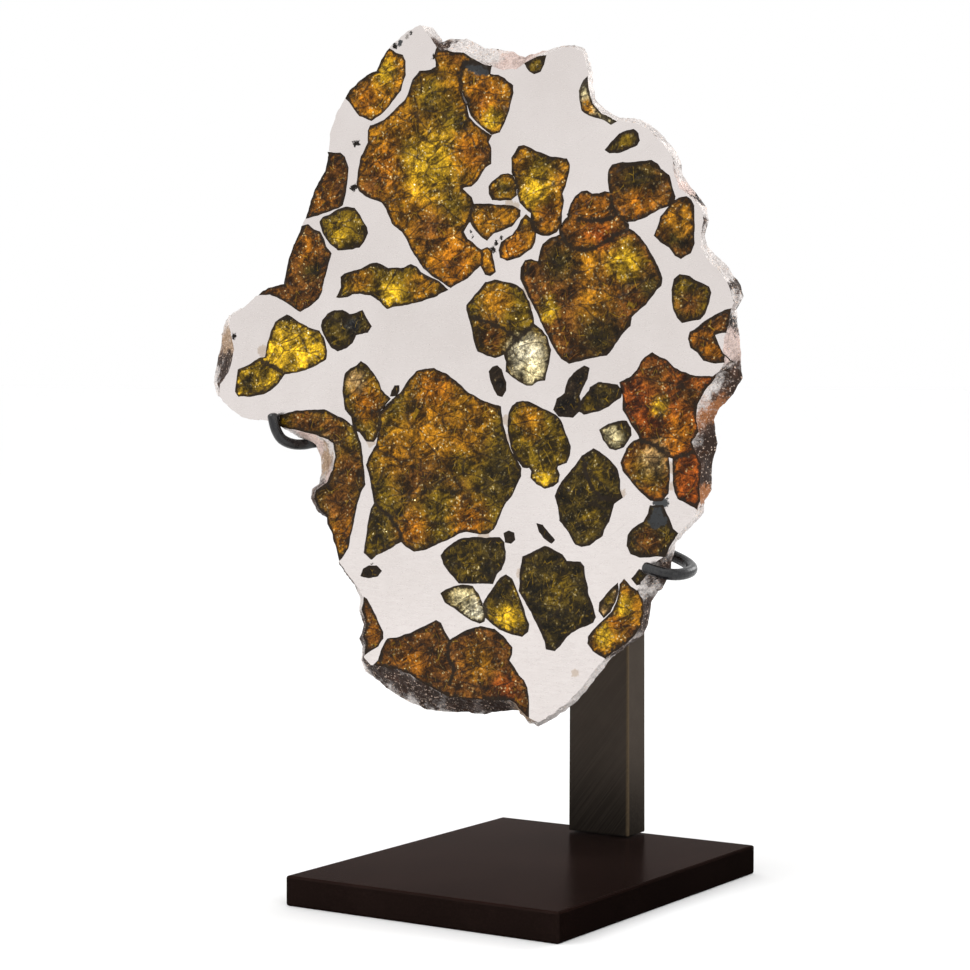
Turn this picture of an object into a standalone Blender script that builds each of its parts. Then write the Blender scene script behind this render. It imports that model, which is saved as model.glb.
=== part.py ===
"""Pallasite meteorite slice held upright by two hooks on a bronzed steel stand.

Origin: centre of the base plate's underside. X is width, +Y goes back, Z is up.
The slice stands in the XZ plane, its polished face towards -Y.
"""
import math

import bmesh
import bpy
from mathutils import Vector

MM = 0.001

# driving dimensions
GAP = 0.3 * MM                # air between neighbouring solids
BASE_WIDTH = 66.4 * MM
BASE_DEPTH = 83.9 * MM
BASE_THICKNESS = 6.35 * MM
BASE_EDGE = 0.5 * MM
POST_WIDTH = 15.6 * MM
POST_TOP_WIDTH = 15.0 * MM
POST_DEPTH = 7.8 * MM
POST_TOP = 92.0 * MM
POST_X = -2.3 * MM
POST_EDGE = 0.3 * MM
FACE_Y = -6.0 * MM            # plane of the polished face
SLICE_THICKNESS = 4.6 * MM
ROD_RADIUS = 1.2 * MM
ROD_SIDES = 14
ARM_Z = 84.0 * MM
ARM_RADIUS = 2.6 * MM
HUB_RADIUS = 6.0 * MM
HUB_FRONT = 3.0 * MM
HUB_LENGTH = 5.0 * MM
CRYSTAL_JOIN = 0.06 * MM      # crystals that touch are grown this much into one another

BACK_Y = FACE_Y + SLICE_THICKNESS
POST_BACK_Y = BASE_DEPTH / 2 - 0.25 * MM
POST_FRONT_Y = POST_BACK_Y - POST_DEPTH

# the photograph's camera, which places the outlines below on the slice
PHOTO_CENTRE = 485.0
PHOTO_FOCAL = 2500.0
CAMERA_PLACE = Vector((282.8, -452.8, 109.2)) * MM
CAMERA_AZIMUTH = math.radians(32.97)
CAMERA_PITCH = math.radians(2.38)

# centre lines of the two hooks, in millimetres, from the tip to the hub
HOOK_LEFT_PATH = (
    (-62.9, -7.5, 101.3), (-62.0, -7.5, 98.4), (-61.0, -6.6, 96.2), (-59.9, -4.4, 95.1),
    (-58.8, -1.8, 94.9), (-57.4, 0.9, 95.3), (-54.6, 2.9, 95.5), (-46.0, 3.9, 93.9),
    (-22.0, 5.2, 88.4), (-8.6, 5.5, 85.4))
HOOK_RIGHT_PATH = (
    (33.2, -7.5, 71.1), (36.9, -7.5, 70.2), (39.5, -6.4, 69.9), (40.5, -3.6, 70.1),
    (39.9, -0.4, 70.6), (37.6, 2.2, 71.5), (33.0, 3.4, 73.1), (20.0, 4.8, 77.0),
    (4.0, 5.5, 82.0))

# Outlines in the photograph's pixels. A rim station is a point of the polished edge and,
# where the natural rim shows beyond it, the point of the back edge.
RIM = [
    (420, 25), (430, 37),
    (438, 50, 441, 42), (450, 51, 451, 39), (463, 53, 467, 39), (474, 59, 478, 44), (485, 65, 486, 49),
    (503, 70, 499, 49), (516, 69, 513, 52), (526, 62, 525, 57), (537, 57, 537, 54), (546, 54, 549, 50),
    (562, 48, 564, 45), (571, 47, 573, 45), (582, 51, 585, 48), (585, 60, 588, 57), (589, 74, 593, 73),
    (588, 87, 593, 87), (592, 103, 596, 101), (603, 114, 606, 110), (617, 121, 620, 118), (635, 123, 639, 120),
    (649, 130, 652, 126), (662, 143, 665, 138), (672, 157, 677, 153), (673, 166, 681, 163), (674, 177, 683, 175),
    (680, 189, 691, 188), (692, 199, 699, 198), (701, 208, 707, 207), (704, 221, 709, 220), (701, 234, 705, 234),
    (701, 247, 707, 245), (707, 259, 715, 255), (721, 273, 728, 266), (730, 289, 740, 285), (734, 303, 744, 296),
    (731, 312, 737, 310), (729, 324, 738, 322), (724, 338, 740, 340), (723, 350, 741, 352), (725, 362, 741, 364),
    (716, 377, 742, 378), (705, 391, 734, 394), (697, 405, 719, 408), (696, 420, 714, 420), (699, 432, 716, 435),
    (692, 442, 718, 443), (695, 452, 716, 452), (701, 463, 712, 465), (701, 476, 712, 478), (699, 489, 711, 490),
    (700, 501, 704, 501), (696, 511, 704, 513), (690, 522, 696, 522), (678, 534, 685, 533), (671, 545, 676, 543),
    (666, 555, 674, 554), (656, 563, 671, 566), (650, 572, 669, 577), (641, 582, 665, 584), (637, 590, 657, 593),
    (642, 599, 651, 602), (644, 612, 650, 613), (641, 626, 648, 624), (633, 638, 644, 634), (620, 648, 628, 646),
    (607, 657, 614, 655), (595, 669, 601, 671), (582, 687, 587, 690), (567, 703, 571, 707), (552, 715, 553, 719),
    (539, 722, 538, 726), (528, 718, 528, 722), (517, 706, 519, 710), (510, 700, 506, 711), (490, 700, 484, 714),
    (468, 699, 464, 712), (450, 697, 444, 712), (437, 691, 426, 709), (424, 684, 412, 703), (410, 675, 400, 697),
    (397, 669, 387, 688), (383, 667, 375, 678), (371, 665, 366, 671), (364, 657, 361, 660), (366, 645, 363, 646),
    (363, 637, 360, 638), (367, 624, 364, 625), (362, 610, 359, 611), (363, 597, 360, 598), (358, 587, 354, 583),
    (347, 573, 345, 572), (339, 561), (336, 548), (332, 535), (327, 524), (327, 517, 325, 516), (319, 509, 317, 509),
    (314, 499, 311, 498), (316, 490, 312, 489), (326, 483, 319, 484), (332, 470, 322, 473), (335, 457, 321, 457),
    (333, 443, 316, 445), (322, 437, 309, 440), (308, 433, 299, 437), (294, 430, 290, 432), (282, 427), (268, 421),
    (243, 418), (228, 407), (219, 396, 217, 395), (220, 384, 214, 382), (228, 373, 216, 370), (232, 361, 218, 358),
    (234, 350, 221, 346), (232, 338, 222, 335), (229, 326, 224, 326), (232, 316, 229, 317), (243, 308), (257, 295),
    (268, 288), (284, 284), (287, 266), (291, 253), (297, 237), (305, 220), (310, 204), (315, 189), (325, 171),
    (329, 153), (330, 133), (338, 110), (349, 92), (363, 77), (376, 71), (381, 59), (391, 46), (408, 31),
]
CRYSTALS = {
    "c01": [(389, 50), (396, 55), (402, 56), (404, 61), (404, 75), (400, 89), (390, 103), (380, 114), (372, 119),
            (360, 115), (355, 108), (350, 100), (340, 93), (354, 76), (370, 65), (375, 52), (384, 43)],
    "c02": [(437, 62), (435, 55), (437, 50), (441, 42), (443, 30), (490, 34), (488, 46), (485, 56), (481, 62),
            (463, 61), (461, 76), (460, 88), (465, 104), (468, 118), (478, 128), (490, 136), (487, 142), (490, 148),
            (490, 163), (485, 166), (476, 180), (471, 185), (464, 186), (461, 189), (466, 194), (471, 198),
            (473, 205), (470, 212), (470, 219), (466, 225), (462, 232), (467, 240), (476, 248), (481, 251),
            (481, 263), (475, 269), (467, 277), (451, 286), (435, 276), (424, 267), (415, 253), (403, 231),
            (393, 222), (387, 208), (382, 201), (367, 195), (360, 190), (358, 183), (359, 171), (362, 157),
            (369, 143), (369, 131), (371, 127), (385, 121), (394, 112), (406, 101), (409, 95), (414, 80),
            (420, 73), (431, 71), (437, 68)],
    "c03": [(463, 61), (481, 62), (490, 67), (489, 75), (498, 76), (504, 80), (512, 86), (512, 93), (508, 109),
            (504, 121), (499, 131), (492, 133), (481, 124), (472, 115), (468, 104), (460, 88), (461, 76)],
    "c04": [(525, 62), (527, 54), (536, 46), (548, 44), (545, 55), (543, 64), (540, 70), (534, 72), (530, 70)],
    "c05": [(590, 76), (585, 81), (580, 91), (581, 100), (583, 109), (590, 114), (602, 118), (611, 123),
            (622, 118), (606, 104), (601, 90), (600, 74)],
    "c06": [(607, 150), (613, 142), (620, 135), (627, 132), (633, 131), (637, 134), (638, 140), (636, 144),
            (628, 148), (619, 151), (610, 152)],
    "c07": [(519, 148), (524, 147), (533, 151), (550, 158), (566, 160), (568, 164), (568, 172), (564, 186),
            (561, 194), (563, 201), (561, 214), (560, 224), (556, 231), (549, 234), (542, 234), (535, 231),
            (532, 222), (532, 212), (526, 207), (521, 202), (519, 194), (517, 187), (516, 180), (513, 172),
            (513, 158)],
    "c08": [(490, 187), (493, 182), (501, 176), (508, 175), (513, 177), (516, 180), (517, 187), (516, 194),
            (511, 199), (500, 199), (493, 198), (490, 193)],
    "c09": [(610, 170), (613, 166), (620, 164), (641, 163), (651, 162), (657, 165), (660, 170), (668, 176),
            (671, 186), (674, 197), (673, 203), (658, 208), (642, 217), (635, 220), (624, 220), (616, 213),
            (612, 204), (611, 194), (609, 180)],
    "c10": [(570, 211), (572, 204), (576, 197), (582, 193), (587, 192), (592, 195), (599, 195), (605, 193),
            (611, 194), (612, 204), (616, 213), (624, 220), (628, 224), (628, 229), (616, 235), (606, 241),
            (596, 247), (585, 250), (574, 249), (566, 242), (561, 236), (560, 229), (564, 223), (569, 218)],
    "c11": [(628, 229), (633, 233), (639, 238), (646, 247), (652, 258), (658, 270), (661, 278), (660, 285),
            (656, 288), (645, 304), (634, 312), (630, 316), (629, 325), (620, 334), (612, 347), (606, 354),
            (590, 357), (569, 362), (562, 358), (555, 347), (545, 328), (536, 308), (527, 290), (522, 279),
            (522, 268), (526, 262), (531, 261), (539, 263), (541, 252), (544, 245), (552, 239), (561, 236),
            (566, 242), (574, 249), (585, 250), (596, 247), (606, 241), (616, 235)],
    "c12": [(673, 203), (680, 199), (686, 198), (690, 201), (693, 206), (693, 216), (693, 228), (693, 243),
            (690, 252), (681, 257), (676, 254), (670, 246), (661, 241), (656, 235), (658, 229), (662, 217)],
    "c13": [(473, 205), (480, 205), (497, 206), (512, 207), (519, 211), (519, 216), (511, 225), (501, 229),
            (493, 232), (487, 239), (483, 236), (476, 229), (470, 219), (470, 212)],
    "c14": [(526, 216), (532, 222), (535, 231), (534, 241), (531, 247), (519, 256), (507, 259), (501, 256),
            (500, 250), (502, 243), (513, 236), (519, 228), (522, 221)],
    "c15": [(481, 251), (487, 249), (491, 252), (492, 259), (494, 271), (490, 274), (486, 273), (481, 263)],
    "c16": [(329, 153), (332, 154), (340, 154), (344, 158), (347, 168), (347, 176), (345, 192), (342, 204),
            (338, 207), (331, 209), (321, 213), (307, 217), (296, 216), (303, 200), (308, 185), (316, 170),
            (320, 158), (321, 150)],
    "c19": [(321, 222), (323, 219), (331, 215), (338, 211), (346, 208), (354, 209), (358, 215), (366, 228),
            (367, 233), (363, 241), (359, 246), (346, 248), (338, 249), (331, 243), (327, 238), (323, 231)],
    "c20": [(300, 228), (308, 226), (314, 231), (319, 233), (323, 240), (325, 247), (330, 254), (328, 262),
            (324, 275), (321, 290), (318, 298), (308, 306), (300, 310), (288, 302), (279, 297), (270, 293),
            (258, 294), (262, 283), (272, 280), (276, 270), (280, 257), (286, 240), (290, 226)],
    "c21": [(338, 296), (342, 288), (342, 278), (345, 275), (361, 270), (370, 265), (377, 264), (383, 267),
            (388, 270), (404, 269), (411, 266), (416, 268), (420, 273), (430, 278), (439, 283), (446, 289),
            (436, 295), (414, 302), (396, 305), (387, 307), (380, 300), (371, 294), (360, 292), (352, 293),
            (347, 296)],
    "c22": [(266, 358), (267, 350), (269, 343), (272, 333), (276, 323), (280, 320), (287, 316), (292, 319),
            (308, 329), (319, 332), (323, 338), (326, 351), (325, 358), (318, 363), (305, 369), (294, 371),
            (284, 373), (278, 382), (270, 389), (263, 393), (250, 395), (239, 395), (236, 391), (238, 379),
            (239, 371), (251, 365), (259, 360)],
    "c24": [(322, 326), (323, 321), (328, 315), (335, 312), (342, 311), (350, 316), (356, 314), (362, 312),
            (365, 318), (370, 326), (367, 331), (355, 334), (352, 342), (346, 347), (338, 350), (332, 347),
            (327, 338)],
    "c26": [(344, 391), (344, 383), (346, 375), (351, 370), (357, 367), (361, 363), (365, 365), (372, 373),
            (378, 383), (380, 390), (389, 399), (381, 408), (380, 412), (380, 421), (380, 430), (376, 436),
            (373, 440), (367, 440), (360, 431), (354, 429), (352, 416), (346, 409), (345, 399)],
    "c27": [(392, 395), (393, 391), (395, 387), (398, 387), (398, 391), (396, 395)],
    "c28": [(468, 310), (468, 306), (476, 296), (481, 290), (486, 284), (494, 281), (508, 284), (517, 287),
            (522, 291), (528, 302), (531, 313), (533, 325), (521, 336), (511, 346), (505, 353), (495, 356),
            (487, 354), (479, 350), (475, 340), (473, 329), (470, 318)],
    "c29": [(533, 325), (541, 331), (546, 338), (550, 350), (548, 360), (544, 379), (537, 380), (532, 384),
            (527, 384), (519, 380), (507, 371), (507, 362), (505, 353), (511, 346), (521, 336)],
    "c30": [(673, 290), (675, 280), (680, 276), (689, 278), (697, 283), (708, 288), (710, 293), (708, 301),
            (704, 313), (700, 318), (682, 321), (678, 317), (675, 310), (673, 300)],
    "c31": [(689, 339), (691, 333), (699, 328), (711, 319), (720, 314), (731, 310), (746, 306), (748, 330),
            (733, 331), (722, 331), (713, 334), (717, 345), (726, 361), (714, 362), (704, 359), (699, 352),
            (692, 346)],
    "c32": [(426, 370), (417, 373), (410, 380), (401, 394), (393, 401), (380, 412), (380, 421), (380, 430),
            (378, 441), (377, 446), (370, 457), (367, 465), (370, 473), (373, 490), (375, 504), (380, 508),
            (388, 515), (395, 525), (400, 530), (401, 540), (406, 545), (414, 550), (423, 549), (440, 542),
            (459, 532), (466, 530), (480, 533), (488, 532), (493, 528), (497, 519), (501, 509), (513, 490),
            (520, 475), (520, 469), (511, 453), (506, 440), (502, 425), (500, 408), (490, 405), (477, 399),
            (468, 394), (455, 382), (445, 375), (434, 370)],
    "c33": [(281, 416), (289, 414), (297, 412), (309, 411), (324, 411), (332, 415), (346, 422), (354, 429),
            (357, 436), (360, 444), (362, 464), (364, 484), (360, 492), (356, 505), (353, 519), (350, 533),
            (347, 547), (341, 558), (325, 570), (312, 545), (306, 520), (292, 505), (292, 485), (300, 475),
            (300, 455), (290, 448), (272, 440), (281, 424)],
    "c34": [(490, 372), (493, 368), (497, 367), (500, 370), (505, 383), (505, 390), (502, 395), (498, 394),
            (495, 389), (492, 380)],
    "c35": [(588, 369), (584, 367), (576, 373), (570, 379), (567, 387), (566, 394), (558, 400), (555, 409),
            (559, 415), (573, 416), (579, 410), (580, 404), (578, 396), (581, 388), (586, 378)],
    "c36": [(580, 404), (584, 398), (590, 392), (591, 388), (598, 384), (609, 385), (617, 386), (621, 391),
            (619, 397), (608, 405), (598, 410), (584, 413), (579, 410)],
    "c37": [(601, 430), (609, 425), (618, 423), (626, 422), (630, 428), (630, 435), (623, 446), (616, 449),
            (611, 447), (604, 439)],
    "c38": [(510, 414), (513, 407), (517, 403), (523, 402), (530, 404), (543, 410), (555, 416), (561, 423),
            (566, 437), (569, 446), (569, 455), (566, 462), (557, 465), (556, 469), (558, 475), (557, 481),
            (552, 485), (545, 487), (537, 483), (532, 477), (533, 471), (530, 466), (523, 466), (516, 457),
            (512, 446), (509, 431), (509, 421)],
    "c39": [(556, 496), (558, 490), (567, 477), (578, 464), (583, 457), (593, 450), (599, 453), (611, 463),
            (616, 470), (619, 480), (619, 490), (621, 497), (613, 503), (611, 509), (608, 521), (603, 529),
            (601, 535), (589, 544), (582, 545), (576, 543), (570, 532), (561, 520), (560, 510)],
    "c40": [(622, 463), (624, 457), (628, 449), (634, 442), (641, 439), (650, 443), (660, 449), (667, 455),
            (668, 465), (668, 482), (667, 493), (661, 499), (651, 499), (640, 490), (631, 479), (624, 470)],
    "c41": [(621, 383), (630, 379), (638, 372), (642, 363), (646, 358), (652, 354), (657, 357), (666, 362),
            (673, 368), (681, 373), (690, 376), (701, 378), (713, 378), (725, 370), (750, 370), (745, 395),
            (726, 412), (726, 444), (700, 450), (690, 453), (682, 456), (674, 457), (667, 455), (660, 449),
            (650, 443), (641, 439), (638, 432), (629, 417), (624, 409), (624, 400), (623, 391)],
    "c42": [(674, 457), (682, 456), (690, 453), (700, 450), (726, 444), (724, 480), (718, 498), (705, 507),
            (697, 508), (687, 502), (679, 498), (676, 492), (674, 480)],
    "c43": [(651, 507), (662, 507), (664, 511), (668, 520), (672, 530), (684, 540), (684, 553), (672, 556),
            (660, 555), (640, 556), (631, 553), (628, 546), (629, 536), (633, 530), (644, 523), (649, 514)],
    "c44": [(375, 504), (380, 508), (388, 515), (395, 525), (400, 530), (401, 540), (390, 547), (376, 554),
            (371, 558), (365, 552), (367, 538), (369, 522), (372, 510)],
    "c45": [(362, 575), (364, 570), (369, 567), (376, 567), (380, 571), (377, 575), (368, 577)],
    "c46": [(442, 556), (445, 551), (458, 541), (465, 539), (480, 539), (499, 539), (503, 543), (505, 552),
            (504, 560), (501, 569), (496, 573), (492, 582), (459, 582), (451, 573), (444, 563)],
    "c47": [(505, 534), (509, 532), (513, 534), (514, 539), (511, 542), (506, 541)],
    "c48": [(538, 525), (542, 526), (547, 533), (553, 540), (551, 542), (544, 537), (540, 531)],
    "c49": [(524, 558), (530, 555), (545, 547), (551, 550), (562, 556), (566, 562), (580, 563), (583, 567),
            (584, 576), (587, 592), (591, 606), (594, 617), (592, 621), (571, 631), (559, 644), (554, 649),
            (547, 648), (546, 641), (540, 628), (532, 611), (520, 591), (521, 575)],
    "c50": [(442, 594), (446, 591), (454, 588), (463, 586), (472, 587), (477, 594), (481, 602), (484, 609),
            (485, 615), (483, 620), (479, 622), (471, 618), (458, 610), (446, 601)],
    "c51": [(506, 576), (501, 579), (495, 587), (489, 596), (484, 605), (484, 609), (485, 615), (492, 622),
            (500, 628), (512, 633), (522, 635), (527, 631), (528, 624), (522, 608), (515, 589), (511, 580)],
    "c52": [(617, 585), (617, 591), (614, 601), (609, 611), (604, 616), (600, 611), (601, 603), (607, 596),
            (613, 589)],
    "c53": [(624, 581), (630, 588), (638, 593), (655, 594), (662, 604), (658, 625), (650, 640), (634, 652),
            (612, 664), (606, 657), (600, 654), (594, 650), (589, 643), (589, 637), (596, 629), (608, 618),
            (614, 611), (618, 601), (620, 592), (621, 585)],
    "c54": [(388, 640), (400, 638), (411, 634), (421, 629), (436, 622), (440, 624), (445, 634), (449, 642),
            (462, 634), (472, 630), (480, 628), (494, 630), (502, 637), (511, 648), (511, 654), (508, 660),
            (518, 677), (523, 681), (526, 688), (528, 704), (527, 724), (500, 726), (430, 724), (400, 708),
            (352, 690), (372, 668), (379, 661), (383, 649)],
    "c56": [(361, 597), (366, 600), (370, 607), (377, 622), (382, 632), (382, 638), (377, 645), (370, 650),
            (364, 654), (340, 655), (340, 598)],
    "c58": [(633, 579), (640, 571), (648, 573), (651, 578), (644, 582), (637, 583)],
}

# crystals that have grown together make one node
CRYSTAL_NODES = {
    "crystal_top_cluster": ("c02", "c03", "c13", "c15"),
    "crystal_right_cluster": ("c09", "c10", "c11", "c12"),
    "crystal_left_cluster": ("c32", "c26", "c44", "c33"),
    "crystal_edge_cluster": ("c41", "c40", "c42"),
    "crystal_upper_pair": ("c07", "c08", "c14"),
    "crystal_middle_pair": ("c28", "c29"),
    "crystal_small_pair": ("c35", "c36"),
    "crystal_lower_pair": ("c50", "c51"),
}

TONES = {
    "amber": (0.52, 0.23, 0.035),
    "brown": (0.26, 0.085, 0.025),
    "olive": (0.22, 0.16, 0.035),
    "gold": (0.72, 0.50, 0.14),
    "dark": (0.055, 0.040, 0.025),
}
TONE_OF = {
    "crystal_top_cluster": "amber", "crystal_right_cluster": "brown",
    "crystal_left_cluster": "amber", "crystal_edge_cluster": "brown",
    "crystal_upper_pair": "amber", "crystal_middle_pair": "olive",
    "crystal_small_pair": "dark", "crystal_lower_pair": "gold",
    "crystal_c01": "amber", "crystal_c04": "olive", "crystal_c05": "gold",
    "crystal_c06": "dark", "crystal_c16": "brown", "crystal_c19": "olive",
    "crystal_c20": "brown", "crystal_c21": "amber", "crystal_c22": "gold",
    "crystal_c24": "dark", "crystal_c27": "dark", "crystal_c30": "olive",
    "crystal_c31": "brown", "crystal_c34": "dark", "crystal_c37": "olive",
    "crystal_c38": "olive", "crystal_c39": "olive", "crystal_c43": "dark",
    "crystal_c45": "dark", "crystal_c46": "olive", "crystal_c47": "dark",
    "crystal_c48": "dark", "crystal_c49": "olive", "crystal_c52": "olive",
    "crystal_c53": "amber", "crystal_c54": "brown", "crystal_c56": "brown",
    "crystal_c58": "dark",
}


def clear_scene():
    """Empty the file before building."""
    for item in list(bpy.data.objects):
        bpy.data.objects.remove(item, do_unlink=True)


def photo_to_plane(u, v, plane_y):
    """Place a pixel of the photograph on the plane y = plane_y, as (x, z)."""
    ahead = Vector((-math.sin(CAMERA_AZIMUTH) * math.cos(CAMERA_PITCH),
                    math.cos(CAMERA_AZIMUTH) * math.cos(CAMERA_PITCH),
                    -math.sin(CAMERA_PITCH)))
    right = Vector((math.cos(CAMERA_AZIMUTH), math.sin(CAMERA_AZIMUTH), 0.0))
    above = right.cross(ahead)
    ray = ahead + right * (u - PHOTO_CENTRE) / PHOTO_FOCAL
    ray += above * (PHOTO_CENTRE - v) / PHOTO_FOCAL
    reach = (plane_y - CAMERA_PLACE.y) / ray.y
    return CAMERA_PLACE.x + ray.x * reach, CAMERA_PLACE.z + ray.z * reach


def principled(name, colour, metallic, roughness, transmission=0.0):
    """Make one Principled material."""
    material = bpy.data.materials.new(name)
    material.use_nodes = True
    shader = material.node_tree.nodes["Principled BSDF"]
    shader.inputs["Base Color"].default_value = (*colour, 1.0)
    shader.inputs["Metallic"].default_value = metallic
    shader.inputs["Roughness"].default_value = roughness
    shader.inputs["Transmission Weight"].default_value = transmission
    material.diffuse_color = (*colour, 1.0)
    return material


def meteoric_iron(name):
    return principled(name, (0.80, 0.76, 0.74), 1.0, 0.16)


def olivine(name, tone):
    return principled(name, TONES[tone], 0.0, 0.08, 0.35)


def bronzed_steel(name):
    return principled(name, (0.045, 0.030, 0.024), 0.85, 0.38)


def blackened_steel(name):
    return principled(name, (0.012, 0.012, 0.013), 0.80, 0.28)


def object_from_bmesh(name, mesh_data, material=None):
    """Turn a bmesh into a linked object whose faces point outwards."""
    bmesh.ops.recalc_face_normals(mesh_data, faces=mesh_data.faces)
    mesh = bpy.data.meshes.new(name)
    mesh_data.to_mesh(mesh)
    mesh_data.free()
    result = bpy.data.objects.new(name, mesh)
    bpy.context.scene.collection.objects.link(result)
    if material is not None:
        mesh.materials.append(material)
    return result


def as_cutter(item):
    """Keep a helper solid out of the finished part."""
    item.hide_render = True
    item.display_type = "WIRE"
    return item


def add_boolean(item, operand, operation):
    """Combine item with operand by an exact Boolean."""
    modifier = item.modifiers.new(operand.name, "BOOLEAN")
    modifier.operation = operation
    modifier.solver = "EXACT"
    modifier.object = operand


def signed_area(outline):
    """Twice the area of an outline, positive where it runs anticlockwise."""
    return sum(a[0] * b[1] - b[0] * a[1] for a, b in zip(outline, outline[1:] + outline[:1]))


def grown(outline, amount):
    """Move an outline outwards by amount, corner by corner."""
    side = 1.0 if signed_area(outline) > 0 else -1.0
    result = []
    count = len(outline)
    for index in range(count):
        before, here = Vector(outline[index - 1]), Vector(outline[index])
        after = Vector(outline[(index + 1) % count])
        first, second = (here - before).normalized(), (after - here).normalized()
        first_out = Vector((first.y, -first.x)) * side
        second_out = Vector((second.y, -second.x)) * side
        middle = (first_out + second_out).normalized()
        stretch = amount / max(0.6, middle.dot(first_out))
        result.append(tuple(here + middle * stretch))
    return result


def crystal_outline(name):
    """A traced crystal as (x, z) corners on the polished face."""
    return [photo_to_plane(u, v, FACE_Y) for u, v in CRYSTALS[name]]


def prism(name, outline, front, back, material=None):
    """Extrude an (x, z) outline from y = front to y = back."""
    data = bmesh.new()
    near = [data.verts.new((x, front, z)) for x, z in outline]
    far = [data.verts.new((x, back, z)) for x, z in outline]
    data.faces.new(near)
    data.faces.new(far[::-1])
    count = len(outline)
    for index in range(count):
        following = (index + 1) % count
        data.faces.new((near[following], near[index], far[index], far[following]))
    return object_from_bmesh(name, data, material)


def slice_body(name, material=None):
    """The whole slice without its crystals: polished face, natural rim and back."""
    data = bmesh.new()
    near, far = [], []
    for station in RIM:
        x, z = photo_to_plane(station[0], station[1], FACE_Y)
        near.append(data.verts.new((x, FACE_Y, z)))
        if len(station) == 4:
            x, z = photo_to_plane(station[2], station[3], BACK_Y)
        far.append(data.verts.new((x, BACK_Y, z)))
    data.faces.new(near)
    data.faces.new(far[::-1])
    count = len(near)
    for index in range(count):
        following = (index + 1) % count
        data.faces.new((near[following], near[index], far[index]))
        data.faces.new((near[following], far[index], far[following]))
    return object_from_bmesh(name, data, material)


def long_prism(name, outline):
    """A cutter that reaches past both faces of the slice."""
    reach = 2.0 * MM
    return as_cutter(prism(name, outline, FACE_Y - reach, BACK_Y + reach))


def make_metal_matrix():
    """Polished metal with one hole for every crystal."""
    body = slice_body("metal_matrix", meteoric_iron("metal_matrix"))
    for name in CRYSTALS:
        hole = long_prism("hole_" + name, grown(crystal_outline(name), CRYSTAL_JOIN + GAP))
        add_boolean(body, hole, "DIFFERENCE")
    return body


def make_crystal(node, members, envelope):
    """One crystal, or several grown together, trimmed to the slice."""
    reach = 2.0 * MM
    outlines = [grown(crystal_outline(member), CRYSTAL_JOIN) for member in members]
    body = prism(node, outlines[0], FACE_Y - reach, BACK_Y + reach, olivine(node, TONE_OF[node]))
    for member, outline in zip(members[1:], outlines[1:]):
        add_boolean(body, long_prism("grown_" + member, outline), "UNION")
    add_boolean(body, envelope, "INTERSECT")
    return body


def make_crystals():
    """Every crystal of the slice."""
    envelope = as_cutter(slice_body("slice_envelope"))
    joined = [member for members in CRYSTAL_NODES.values() for member in members]
    for node, members in CRYSTAL_NODES.items():
        make_crystal(node, members, envelope)
    for name in CRYSTALS:
        if name not in joined:
            make_crystal("crystal_" + name, (name,), envelope)


def edged_block(name, size, place, edge, material, top_scale=1.0):
    """A block with softened edges, narrowed in width at its top."""
    data = bmesh.new()
    bmesh.ops.create_cube(data, size=1.0)
    for vert in data.verts:
        width = size[0] * (top_scale if vert.co.z > 0 else 1.0)
        vert.co = Vector((vert.co.x * width, vert.co.y * size[1], vert.co.z * size[2]))
    bmesh.ops.bevel(data, geom=list(data.edges), offset=edge, segments=2, profile=0.5,
                    affect="EDGES")
    bmesh.ops.translate(data, verts=data.verts, vec=Vector(place))
    return object_from_bmesh(name, data, material)


def make_base():
    """Square-edged plate that the stand rests on."""
    size = (BASE_WIDTH, BASE_DEPTH, BASE_THICKNESS)
    place = (0.0, 0.0, BASE_THICKNESS / 2)
    return edged_block("base_plate", size, place, BASE_EDGE, bronzed_steel("base_plate"))


def make_post():
    """Upright flat bar at the back edge of the base."""
    bottom = BASE_THICKNESS + GAP
    size = (POST_WIDTH, POST_DEPTH, POST_TOP - bottom)
    place = (POST_X, (POST_FRONT_Y + POST_BACK_Y) / 2, (POST_TOP + bottom) / 2)
    return edged_block("post", size, place, POST_EDGE, bronzed_steel("post"),
                       POST_TOP_WIDTH / POST_WIDTH)


def make_arm():
    """Round arm from the post to the hub that the hooks spring from."""
    profile = ((HUB_RADIUS, HUB_FRONT), (HUB_RADIUS, HUB_FRONT + HUB_LENGTH),
               (ARM_RADIUS, HUB_FRONT + HUB_LENGTH), (ARM_RADIUS, POST_FRONT_Y - GAP))
    sides = 32
    data = bmesh.new()
    rings = []
    for radius, y in profile:
        ring = []
        for step in range(sides):
            turn = math.tau * step / sides
            ring.append(data.verts.new((POST_X + radius * math.cos(turn), y,
                                        ARM_Z + radius * math.sin(turn))))
        rings.append(ring)
    data.faces.new(rings[0])
    data.faces.new(rings[-1][::-1])
    for near, far in zip(rings, rings[1:]):
        for step in range(sides):
            following = (step + 1) % sides
            data.faces.new((near[step], near[following], far[following], far[step]))
    for face in data.faces:
        face.smooth = len(face.verts) == 4
    arm = object_from_bmesh("support_arm", data, bronzed_steel("support_arm"))
    arm.data.set_sharp_from_angle(angle=math.radians(40))
    return arm


def smooth_path(points, steps):
    """Catmull-Rom curve through points given in millimetres."""
    knots = [Vector(point) * MM for point in points]
    knots = [knots[0] * 2 - knots[1]] + knots + [knots[-1] * 2 - knots[-2]]
    result = []
    for a, b, c, d in zip(knots, knots[1:], knots[2:], knots[3:]):
        for step in range(steps):
            t = step / steps
            bend = (2 * a - 5 * b + 4 * c - d) * t * t + (3 * b - a - 3 * c + d) * t ** 3
            result.append((2 * b + (c - a) * t + bend) / 2)
    result.append(knots[-2])
    return result


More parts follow.
